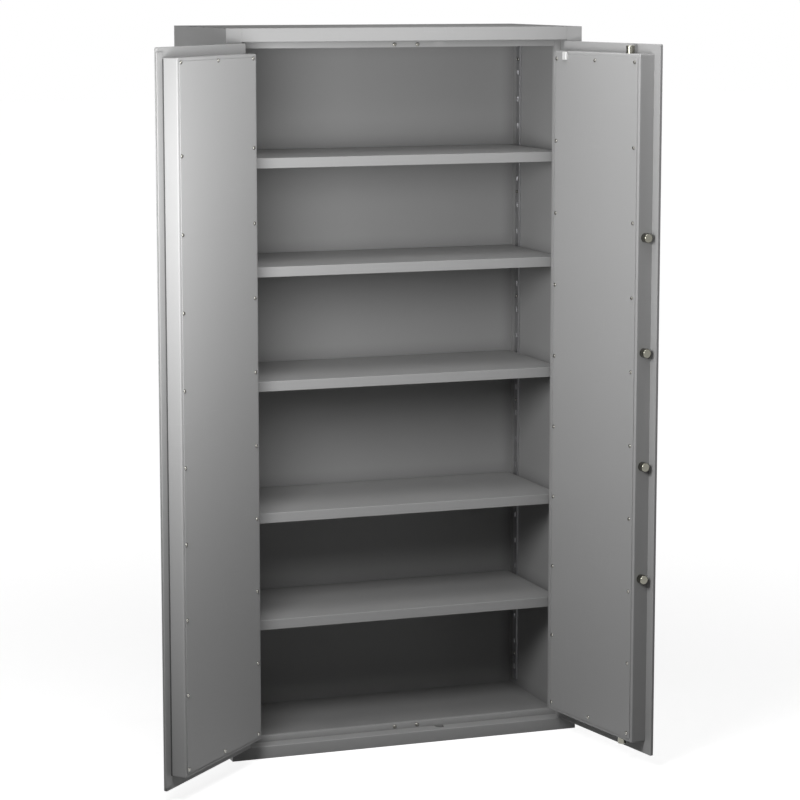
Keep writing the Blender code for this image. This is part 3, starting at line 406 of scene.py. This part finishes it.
def addScrew(mesh, place, out, turn, size=1.0):
    r, h = panHead["radius"] * size, panHead["high"] * size
    sides = panHead["sides"]
    basis = out.to_track_quat("Z", "Y").to_matrix() @ Matrix.Rotation(turn, 3, "Z")

    def spot(a, b, c):
        return mesh.verts.new(place + basis @ Vector((a, b, c)))

    rings = []
    for across, up in panHead["rise"]:
        angles = [math.tau * i / sides for i in range(sides)]
        rings.append([spot(r * across * math.cos(a), r * across * math.sin(a), h * up) for a in angles])
    for low, high in zip(rings, rings[1:]):
        for i in range(sides):
            j = (i + 1) % sides
            mesh.faces.new((low[i], low[j], high[j], high[i])).smooth = True
    mesh.faces.new(list(reversed(rings[0])))
    long, half = panHead["cross"] * size, panHead["arm"] * size

    def crossLine(reach, width, up):  # four arms, twelve corners
        flat = []
        for quarter in range(4):
            c, s = round(math.cos(quarter * math.pi / 2)), round(math.sin(quarter * math.pi / 2))
            for a, b in ((reach, -width), (reach, width), (width, width)):
                flat.append(spot(a * c - b * s, a * s + b * c, up))
        return flat

    rim = crossLine(long, half, h)
    floor = crossLine(long * panHead["floorReach"], half * panHead["floorWide"], h - panHead["deep"] * size)
    top = rings[-1]
    step = sides // 4
    for quarter in range(4):
        arm = [rim[(quarter * 3 + k) % 12] for k in range(4)]
        arc = [top[(quarter * step + k) % sides] for k in range(step + 1)]
        mesh.faces.new((arc[0], arc[1], arm[1]))
        mesh.faces.new((arm[1], arc[1], arc[2], arm[2]))
        mesh.faces.new((arm[2], arc[2], arc[3], arm[3]))
        mesh.faces.new((arm[3], arc[3], arc[4]))
        mesh.faces.new((arm[0], arc[0], arm[1]))
    for i in range(12):
        j = (i + 1) % 12
        mesh.faces.new((rim[i], rim[j], floor[j], floor[i]))
    mesh.faces.new(floor)


def finishPiece(name, mesh, material, body):
    bmesh.ops.recalc_face_normals(mesh, faces=mesh.faces)
    data = bpy.data.meshes.new(name)
    mesh.to_mesh(data)
    mesh.free()
    data.materials.append(material)
    piece = bpy.data.objects.new(name, data)
    scene.collection.objects.link(piece)
    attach(piece, body)
    return piece


coverScrews = {"pitch": 0.1945, "rows": 8, "first": 1.646, "face": 0.0535, "turn": 0.7,
               "left": {"body": "left_door", "side": 1, "columns": (0.0445, 0.229, 0.418),
                        "ends": (1.8746, 0.0915)},
               "right": {"body": "right_door", "side": -1, "columns": (0.0357, 0.220, 0.405),
                         "ends": (1.8655, 0.0945)}}
for label in ("left", "right"):
    door = coverScrews[label]
    side = door["side"]
    mesh = bmesh.new()
    rows = [coverScrews["first"] - coverScrews["pitch"] * i for i in range(coverScrews["rows"])]
    edges = door["columns"][0], door["columns"][2]
    spots = [(u, z) for u in edges for z in rows] + [(u, z) for u in door["columns"] for z in door["ends"]]
    for index, (u, z) in enumerate(spots):
        head = onDoor(side, u, coverScrews["face"], z)
        addScrew(mesh, head, doorInward(side), coverScrews["turn"] * index + side)
    finishPiece(label + "CoverScrews", mesh, zincPlate, door["body"])
print("cover screws set")

frameScrews = {"across": (-0.022, 0.043), "high": 1.9045, "low": 0.0415, "face": -0.206, "turn": 0.5,
               "size": 1.05}
mesh = bmesh.new()
for z in (frameScrews["high"], frameScrews["low"]):
    for index, x in enumerate(frameScrews["across"]):
        head = Vector((x, frameScrews["face"], z))
        addScrew(mesh, head, Vector((0.0, -1.0, 0.0)), frameScrews["turn"] + index, frameScrews["size"])
finishPiece("innerFrameScrews", mesh, zincPlate, "carcass")

railScrews = {"face": 0.4747, "rows": (0.127, 0.577, 0.877, 1.177, 1.477, 1.852), "near": -0.138,
              "far": 0.137, "turn": 0.9, "size": 0.95}
mesh = bmesh.new()
for way in (-1, 1):
    for y in (railScrews["near"], railScrews["far"]):
        for index, z in enumerate(railScrews["rows"]):
            head = Vector((way * railScrews["face"], y, z))
            addScrew(mesh, head, Vector((-way, 0.0, 0.0)), railScrews["turn"] * index, railScrews["size"])
finishPiece("railScrews", mesh, zincPlate, "carcass")
print("frame and rail screws set")

# a shank inside the casing, and a wider round-nosed end outside it
boltNose = {"inner": 0.39145, "collar": 0.4272, "tip": 0.44775, "inward": 0.030, "radius": 0.011,
            "head": 0.0124, "ease": 0.0005, "round": 0.0045, "land": 0.002, "crown": 0.0004, "bends": 7,
            "low": 0.515, "pitch": 0.300, "count": 4, "sides": 40}


def boltLine():  # half outline as (radius, place along the bolt)
    r, head, ease = boltNose["radius"], boltNose["head"], boltNose["ease"]
    bend, tip, collar = boltNose["round"], boltNose["tip"], boltNose["collar"]
    line = [(r - ease, boltNose["inner"]), (r, boltNose["inner"] + ease), (r, collar - ease), (r, collar),
            (head - ease, collar), (head, collar + ease), (head, tip - bend - boltNose["land"])]
    for step in range(boltNose["bends"] + 1):
        turn = step * math.pi / (2 * boltNose["bends"])
        along = tip - bend - boltNose["crown"] + bend * math.sin(turn)
        line.append((head - bend + bend * math.cos(turn), along))
    return line


for index in range(boltNose["count"]):
    mesh = bmesh.new()
    sides, inward = boltNose["sides"], boltNose["inward"]
    level = boltNose["low"] + boltNose["pitch"] * index
    angles = [math.tau * k / sides for k in range(sides)]
    rings = []
    for across, u in boltLine():
        around = [(inward + across * math.cos(a), level + across * math.sin(a)) for a in angles]
        rings.append([mesh.verts.new(onDoor(-1, u, v, z)) for v, z in around])
    for low, high in zip(rings, rings[1:]):
        for k in range(sides):
            j = (k + 1) % sides
            mesh.faces.new((low[k], low[j], high[j], high[k])).smooth = True
    mesh.faces.new(rings[0])
    middle = mesh.verts.new(onDoor(-1, boltNose["tip"], inward, level))
    for k in range(sides):
        mesh.faces.new((rings[-1][k], rings[-1][(k + 1) % sides], middle)).smooth = True
    nosed = finishPiece("sideBolt%d" % (index + 1), mesh, turnedBolt, "side_boltwork")
    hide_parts("side_bolt_%d" % (index + 1))
print("bolt noses turned")

# a near-black bead along the left plug's long root: partly a seal, partly painted shade for the dark gap
# line there
rootSealAndShade = {"wall": 0.43235, "face": 0.01165, "wide": 0.0034, "high": 0.0018, "low": 0.0745, "top": 1.8832,
            "bends": 6}
mesh = bmesh.new()
ends = []
for z in (rootSealAndShade["low"], rootSealAndShade["top"]):
    line = [(0.0, 0.0)]
    for step in range(rootSealAndShade["bends"] + 1):
        turn = step * math.pi / 2 / rootSealAndShade["bends"]
        line.append((rootSealAndShade["wide"] * math.cos(turn), rootSealAndShade["high"] * math.sin(turn)))
    ends.append([mesh.verts.new(onDoor(1, rootSealAndShade["wall"] + u, rootSealAndShade["face"] + v, z)) for u, v in line])
for i in range(len(ends[0])):
    j = (i + 1) % len(ends[0])
    mesh.faces.new((ends[0][i], ends[0][j], ends[1][j], ends[1][i]))
for end in ends:
    mesh.faces.new(end)
finishPiece("leftRootSealAndShade", mesh, sealAndShadeRubber, "left_door")
print("seal bead laid")

rimWelds = {"seam": 0.457, "wide": 0.0009, "proud": 0.00006, "deep": 0.0008, "top": (1.9142, 1.9497),
            "foot": (0.0003, 0.0338)}
mesh = bmesh.new()
for way in (-1, 1):
    for low, high in (rimWelds["top"], rimWelds["foot"]):
        bead = bmesh.ops.create_cube(mesh, size=1.0)["verts"]
        bmesh.ops.scale(mesh, verts=bead, vec=(rimWelds["wide"], rimWelds["deep"], high - low))
        middle = cabinet["front"] - rimWelds["proud"] + rimWelds["deep"] / 2
        bmesh.ops.translate(mesh, verts=bead, vec=(way * rimWelds["seam"], middle, (low + high) / 2))
finishPiece("rimWelds", mesh, carcassPaint, "carcass")
print("rim seams filled")

photoCamera = {"place": (-2.5513, -7.1755, 2.0742), "pitch": 81.382, "yaw": -20.06, "lens": 124.78,
               "sensor": 36.0, "far": 100.0}
eye = bpy.data.cameras.new("photoCamera")
eye.sensor_width = photoCamera["sensor"]
eye.lens = photoCamera["lens"]
eye.clip_end = photoCamera["far"]
camera = bpy.data.objects.new("photoCamera", eye)
camera.location = photoCamera["place"]
camera.rotation_euler = (math.radians(photoCamera["pitch"]), 0.0, math.radians(photoCamera["yaw"]))
scene.collection.objects.link(camera)
scene.camera = camera

studioLamps = {
    "leftNear": {"place": (-0.94, -1.52, 1.66), "aim": (0.0, -0.3, 1.2), "size": 0.8, "power": 23.0},
    "rightHigh": {"place": (0.15, -0.9, 2.46), "aim": (0.0, -0.3, 1.2), "size": 0.8, "power": 5.6},
    "backLeft": {"place": (-2.0, 1.5, 0.7), "aim": (-0.4, 0.0, 0.9), "size": 1.4, "power": 20.0},
    "backMiddle": {"place": (0.6, 3.0, 1.7), "aim": (0.0, 0.2, 1.0), "size": 1.6, "power": 45.0},
    "backHigh": {"place": (0.0, 1.3, 3.1), "aim": (0.0, 0.1, 1.95), "size": 1.4, "power": 13.0},
    "backRight": {"place": (2.7, 0.5, 1.6), "aim": (0.5, -0.1, 1.0), "size": 1.4, "power": 55.0},
}
unlitByRear = bpy.data.collections.new("unlitByRear")
for name, lamp in studioLamps.items():
    light = bpy.data.lights.new(name, "AREA")
    light.shape = "DISK"
    light.size = lamp["size"]
    light.energy = lamp["power"]
    holder = bpy.data.objects.new(name, light)
    holder.location = lamp["place"]
    holder.rotation_euler = (Vector(lamp["aim"]) - Vector(lamp["place"])).to_track_quat("-Z", "Y").to_euler()
    holder.visible_camera = False
    if name.startswith("back"):  # these only lift the far sides, and leave the floor alone
        holder.visible_glossy = False
        holder.light_linking.receiver_collection = unlitByRear
    scene.collection.objects.link(holder)


def shownRays(tree):  # rays that see the white studio itself
    rays = node(tree, "LightPath").outputs
    seen = math2(tree, "MAXIMUM", rays["Is Camera Ray"], rays["Is Glossy Ray"])
    return math2(tree, "MAXIMUM", seen, rays["Is Transmission Ray"])


studio = {"white": (1.0, 1.0, 1.0, 1.0), "ambient": 0.01, "floorSeen": 0.62, "floorBounce": 0.15,
          "nearGlow": 0.87, "nearReach": 0.6, "farReach": 3.2, "floorSize": 40.0, "floorDrop": 0.0006}
world = bpy.data.worlds.new("studioWorld")
scene.world = world
world.use_nodes = True
tree = world.node_tree
tree.nodes.clear()
out = tree.nodes.new("ShaderNodeOutputWorld")
strength = scaled(tree, shownRays(tree), 1.0 - studio["ambient"], studio["ambient"])
back = node(tree, "Background", {"Color": studio["white"], "Strength": strength})
tree.links.new(back.outputs[0], out.inputs[0])

mesh = bmesh.new()
bmesh.ops.create_grid(mesh, x_segments=1, y_segments=1, size=studio["floorSize"])
data = bpy.data.meshes.new("studioFloor")
mesh.to_mesh(data)
mesh.free()
floor = bpy.data.objects.new("studioFloor", data)
floor.location = (0.0, 0.0, -studio["floorDrop"])
scene.collection.objects.link(floor)
paper = bpy.data.materials.new("floorPaper")
paper.use_nodes = True
tree = paper.node_tree
tree.nodes.clear()
out = tree.nodes.new("ShaderNodeOutputMaterial")
reach = node(tree, "VectorMath", {0: objectSpot(tree)}, operation="LENGTH").outputs["Value"]
glow = node(tree, "MapRange", {"Value": reach, "From Min": studio["nearReach"],
                               "From Max": studio["farReach"], "To Min": studio["nearGlow"],
                               "To Max": 1.0}, interpolation_type="SMOOTHSTEP")
shown = shownRays(tree)
glow = math2(tree, "MULTIPLY", glow.outputs[0], shown)
white = node(tree, "Emission", {"Color": studio["white"], "Strength": glow})
level = scaled(tree, shown, studio["floorSeen"] - studio["floorBounce"], studio["floorBounce"])
grey = node(tree, "CombineXYZ", {0: level, 1: level, 2: level}).outputs[0]
matte = node(tree, "BsdfDiffuse", {"Color": grey})
mixed = node(tree, "AddShader", {0: matte.outputs[0], 1: white.outputs[0]})
tree.links.new(mixed.outputs[0], out.inputs[0])
data.materials.append(paper)
unlitByRear.objects.link(floor)
unlitByRear.collection_objects[0].light_linking.link_state = "EXCLUDE"
print("camera, lamps and floor set")
